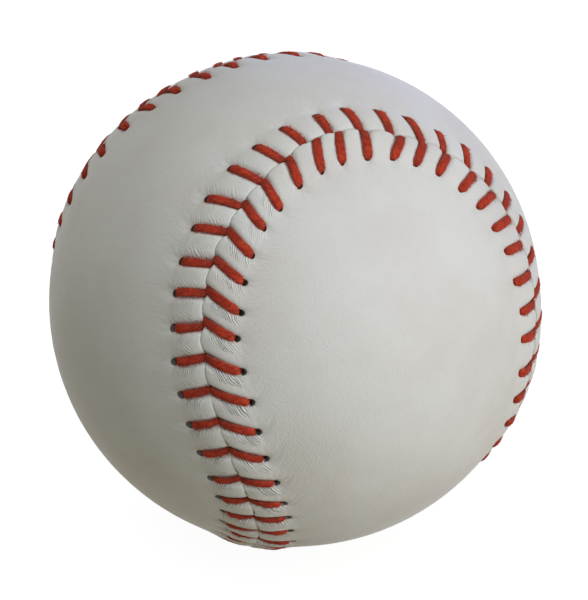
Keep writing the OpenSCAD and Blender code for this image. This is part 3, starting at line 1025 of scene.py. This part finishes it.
def wound_finish(name, pale, gap_shade, yarn_mm):
    """Yarn wound in every direction: four sets of strands that pass over and under each other."""
    f = Finish(name, Roughness=0.9)
    place = f.node("ShaderNodeVectorMath", {"operation": "SCALE"}, {0: f.place(), "Scale": 1 / MM})
    height = None
    for turn in ((0.3, 0.5, 0), (1.2, -0.4, 0.9), (2.1, 0.8, 0.4), (0.7, 1.9, -0.8)):
        values = {"Vector": place, "Rotation": turn}
        turned = f.node("ShaderNodeVectorRotate", {"rotation_type": "EULER_XYZ"}, values)
        strand = f.fold("SINE", f.split(turned)[2] * (math.pi / yarn_mm))
        over = strand * f.noise(turned, 0.12, 1)
        height = over if height is None else f.sum("MAXIMUM", height, over)
    fibres = f.noise(place, 3.5, 4, 0.7)
    # The low parts between the strands on top get the darker tone as painted shade
    f.colour(f.mix(f.ease(height + 0.25 * fibres, 0.35, 0.75), gap_shade, pale))
    f.bumps((height, 0.4 * MM, 0.9), (fibres, 0.1 * MM, 0.5))
    return f.material


def rubber_finish(name, tone, worn, roughness):
    """Moulded rubber with a faint bloom and fine pitting."""
    f = Finish(name, Roughness=roughness, Specular_IOR_Level=0.35)
    place = f.place()
    bloom = f.noise(place, 260, 4, 0.6)
    pits = f.cells(place, 2600)
    f.colour(f.mix(f.ease(bloom, 0.4, 0.75) * 0.6, tone, worn))
    f.roughness(roughness + 0.15 * bloom)
    f.bumps((pits, 0.04 * MM, 0.3), (bloom, 0.1 * MM, 0.2))
    return f.material


def cork_finish(name):
    """Cork granules bound with rubber, with dark gaps between them."""
    f = Finish(name, Roughness=0.85)
    place = f.place()
    granule = f.cells(place, 900)
    gaps = f.cells(place, 900, "DISTANCE_TO_EDGE")
    mottle = f.noise(place, 2200, 3, 0.6)
    tone = f.mix(f.ease(granule, 0.1, 0.6), rgb(196, 148, 96), rgb(150, 100, 58))
    tone = f.mix(f.ease(mottle, 0.5, 0.7) * 0.5, tone, rgb(104, 66, 38))
    tone = f.mix(1 - f.ease(gaps, 0.0, 0.06), tone, rgb(52, 34, 24))
    f.colour(tone)
    f.bumps((gaps, 0.15 * MM, 0.6), (mottle, 0.05 * MM, 0.4))
    return f.material


def dress(node, material):
    """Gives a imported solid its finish."""
    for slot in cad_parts[node].material_slots:
        slot.material = material


# Making the ball

red_thread = thread_finish("red_waxed_thread")
upper_leather = leather_finish("white_leather_upper", 1)
lower_leather = leather_finish("white_leather_lower", -1)

leather_panel("leather_upper", "cover_panel_upper", 1, upper_leather)
leather_panel("leather_lower", "cover_panel_lower", -1, lower_leather)
thread_strand("lacing_first", "thread_first_needle", 0, red_thread)
thread_strand("lacing_second", "thread_second_needle", 1, red_thread)
thread_fuzz("fuzz_first", 0, red_thread)
thread_fuzz("fuzz_second", 1, red_thread)

black_rubber = rubber_finish("black_rubber", rgb(30, 30, 32), rgb(58, 58, 60), 0.55)
dress("cork_centre", cork_finish("cork_granules"))
dress("half_shell_upper", black_rubber)
dress("half_shell_lower", black_rubber)
dress("shell_washer", rubber_finish("gum_rubber", rgb(166, 62, 50), rgb(186, 96, 80), 0.6))
dress("outer_rubber_shell", rubber_finish("red_rubber", rgb(140, 44, 38), rgb(158, 74, 64), 0.6))
grey_wool = wound_finish("grey_wool_winding", rgb(150, 149, 145), rgb(78, 77, 75), 1.1)
dress("first_winding", grey_wool)
dress("second_winding", wound_finish("white_wool_winding", rgb(222, 219, 206), rgb(150, 146, 132), 0.9))
dress("third_winding", grey_wool)
# The cemented cotton's dark brown is painted shade, so that the needle holes look dark
dress("finish_winding", wound_finish("cemented_cotton_painted_shade", rgb(120, 108, 92), rgb(60, 52, 42), 0.35))


# Floor, light and camera

# The floor's half width, its colour in the light that it throws back and where it is seen, the share of its
# own glow in what is seen of it, how much more that is away from the ball, over which distances, and the
# glow's strength
FLOOR_HALF = 3.0
FLOOR_THROWN = (0.44, 0.38, 0.235, 1)
FLOOR_SEEN = (0.57, 0.54, 0.48, 1)
GLOW_SHARE = 0.82
GLOW_MORE = 0.09
GLOW_GROWS = (0.01, 0.07)
GLOW_STRENGTH = 1.16

# Soft light from all round, and its strength. The background that is seen is plain white.
SKY_COLOUR = (0.6, 0.8, 1.2, 1)
SKY_STRENGTH = 0.03
WHITE = (1, 1, 1, 1)

# The lamps' distance from the ball, and each one's name, direction along the camera's right, up and back,
# width, power and colour
LAMP_DISTANCE = 0.9
LAMPS = (
    ("key", (0.763, 0.087, 0.64), 0.68, 5.78, (1.01, 1.0, 1.07)),
    ("fill", (-0.383, 0.866, 0.321), 1.04, 3.15, (1.06, 1.0, 0.93)),
    ("front", (0.0, 0.15, 1.0), 0.8, 1.63, (0.91, 1.0, 1.04)),
    ("rim", (0.296, 0.5, -0.814), 0.84, 1.43, (0.86, 1.0, 2.2)),
)


def camera_axes():
    """The camera's right, up and back."""
    back = Vector(CAMERA_SIDE).normalized()
    right = Vector(CAMERA_UP).cross(back).normalized()
    return right, back.cross(right), back


def make_camera():
    """Camera that shows the ball at its place and size in the picture."""
    right, up, back = camera_axes()
    distance = CAMERA_RADII * COVER_R
    focal_px = BALL_PX * math.sqrt(CAMERA_RADII**2 - 1)
    pixel = distance / focal_px
    off_x = BALL_CENTRE_PX[0] - PICTURE_PX[0] / 2
    off_y = BALL_CENTRE_PX[1] - PICTURE_PX[1] / 2
    aim = (up * off_y - right * off_x) * pixel
    data = bpy.data.cameras.new("camera")
    data.sensor_fit = "HORIZONTAL"
    data.lens = data.sensor_width * focal_px / PICTURE_PX[0]
    data.clip_start = 0.01
    camera = add_object("camera", data)
    axes = Matrix((right, up, back)).transposed()
    camera.matrix_world = Matrix.Translation(aim + back * distance) @ axes.to_4x4()
    bpy.context.scene.camera = camera


def make_lamp(name, direction, size, power, colour):
    """Round soft lamp that faces the ball."""
    right, up, back = camera_axes()
    way = (right * direction[0] + up * direction[1] + back * direction[2]).normalized()
    data = bpy.data.lights.new(name, "AREA")
    data.shape = "DISK"
    data.size = size
    data.energy = power
    data.color = colour
    lamp = add_object(name, data)
    facing = way.to_track_quat("Z", "Y").to_matrix().to_4x4()
    lamp.matrix_world = Matrix.Translation(way * LAMP_DISTANCE) @ facing
    lamp.visible_camera = False


def floor_material():
    """White where it is seen, with the ball's shadow, and a plain pale tone in the light it throws back."""
    f = Finish("pale_floor", Roughness=0.9, Specular_IOR_Level=0.0)
    x, y, _ = f.split(f.place())
    away = f.sum("SQRT", x * x + y * y)
    rays = f.ray("Is Camera Ray") + f.ray("Is Glossy Ray") + f.ray("Is Transmission Ray")
    seen = f.sum("MINIMUM", rays, 1.0)
    f.colour(f.mix(seen, FLOOR_THROWN, FLOOR_SEEN))
    glow = f.node("ShaderNodeEmission", {}, {"Color": WHITE, "Strength": GLOW_STRENGTH})
    share = seen * (GLOW_SHARE + GLOW_MORE * f.ease(away, *GLOW_GROWS))
    both = f.node("ShaderNodeMixShader", {}, {0: share, 1: Signal(f, f.surface.outputs[0]), 2: glow})
    f.feed(f.tree.nodes["Material Output"].inputs[0], both)
    return f.material


def make_floor():
    mesh = bpy.data.meshes.new("floor")
    corners = [(x * FLOOR_HALF, y * FLOOR_HALF, FLOOR_Z) for x, y in ((-1, -1), (1, -1), (1, 1), (-1, 1))]
    mesh.from_pydata(corners, [], [(0, 1, 2, 3)])
    mesh.materials.append(floor_material())
    add_object("floor", mesh)


def make_world():
    """White where it is seen or mirrored, and a faint even light on everything."""
    world = bpy.data.worlds.new("studio")
    bpy.context.scene.world = world
    world.use_nodes = True
    tree = world.node_tree
    tree.nodes.clear()
    path = tree.nodes.new("ShaderNodeLightPath")
    mixer = tree.nodes.new("ShaderNodeMixShader")
    output = tree.nodes.new("ShaderNodeOutputWorld")
    tree.links.new(mixer.outputs[0], output.inputs["Surface"])
    for number, colour, strength in ((1, SKY_COLOUR, SKY_STRENGTH), (2, WHITE, 1)):
        light = tree.nodes.new("ShaderNodeBackground")
        light.inputs["Color"].default_value = colour
        light.inputs["Strength"].default_value = strength
        tree.links.new(light.outputs[0], mixer.inputs[number])
    seen = path.outputs["Is Camera Ray"]
    for ray in ("Is Glossy Ray", "Is Transmission Ray"):
        either = tree.nodes.new("ShaderNodeMath")
        either.operation = "MAXIMUM"
        tree.links.new(seen, either.inputs[0])
        tree.links.new(path.outputs[ray], either.inputs[1])
        seen = either.outputs[0]
    tree.links.new(seen, mixer.inputs[0])


bpy.context.scene.view_settings.view_transform = "Standard"
make_camera()
make_floor()
make_world()
for lamp in LAMPS:
    make_lamp(*lamp)
